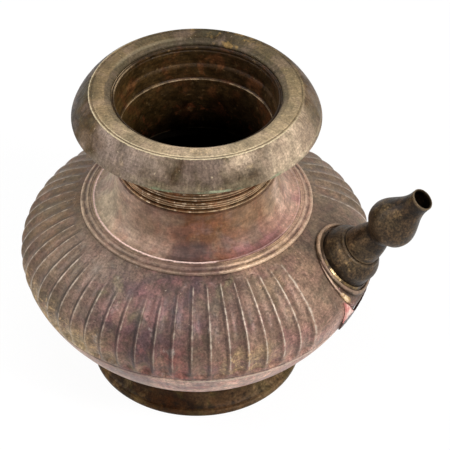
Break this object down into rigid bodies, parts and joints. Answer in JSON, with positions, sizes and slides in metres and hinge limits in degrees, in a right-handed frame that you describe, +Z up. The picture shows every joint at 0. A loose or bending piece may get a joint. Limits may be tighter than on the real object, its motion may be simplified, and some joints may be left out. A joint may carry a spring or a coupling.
{
  "type": "spouted water pot",
  "caption": "Squat round metal water pot with a fluted body, wide collared mouth, ring foot and a slanting bulbous pouring spout.",
  "frame": {"origin": "centre of the whole part's box, on the plane that the foot ring stands on; the pot's own axis lies 15.6 mm behind it in -X", "axes": "+X the way the spout points, +Z up along the pot's axis, +Y to the left of the spout; the part is the same on both sides of the XZ plane"},
  "size_m": [0.2072, 0.176, 0.1644],
  "materials": {
    "rim": "Aged brass, olive brown, worn lighter on the lip",
    "neck": "Aged brass, dark brown with worn orange ridges",
    "shoulder": "Aged copper, red brown with pink wear",
    "band": "Aged brass, grey brown, pink copper wear at the inner edge",
    "body": "Aged copper, mauve brown with golden specks in the flutes",
    "foot": "Darkened brass, olive black with gold patches",
    "spout": "Darkened brass, olive brown",
    "plate": "Aged copper, worn at the edge",
    "braze": "Bright brass braze",
    "bare": "Bare pink copper, worn bright"
  },
  "bodies": {
    "root": {"rim_collar": "rim", "neck_sleeve": "neck", "neck_ring_upper": "neck", "neck_ring_lower": "neck", "shoulder": "shoulder", "shoulder_band": "band", "upper_body": "body", "lower_bowl": "body", "foot_ring": "foot", "spout_plate": "plate", "copper_patch": "bare", "spout_bead": "plate", "spout_braze": "braze", "spout_bell": "spout", "spout_stem": "spout", "spout_nozzle": "spout"}
  },
  "joints": []
}
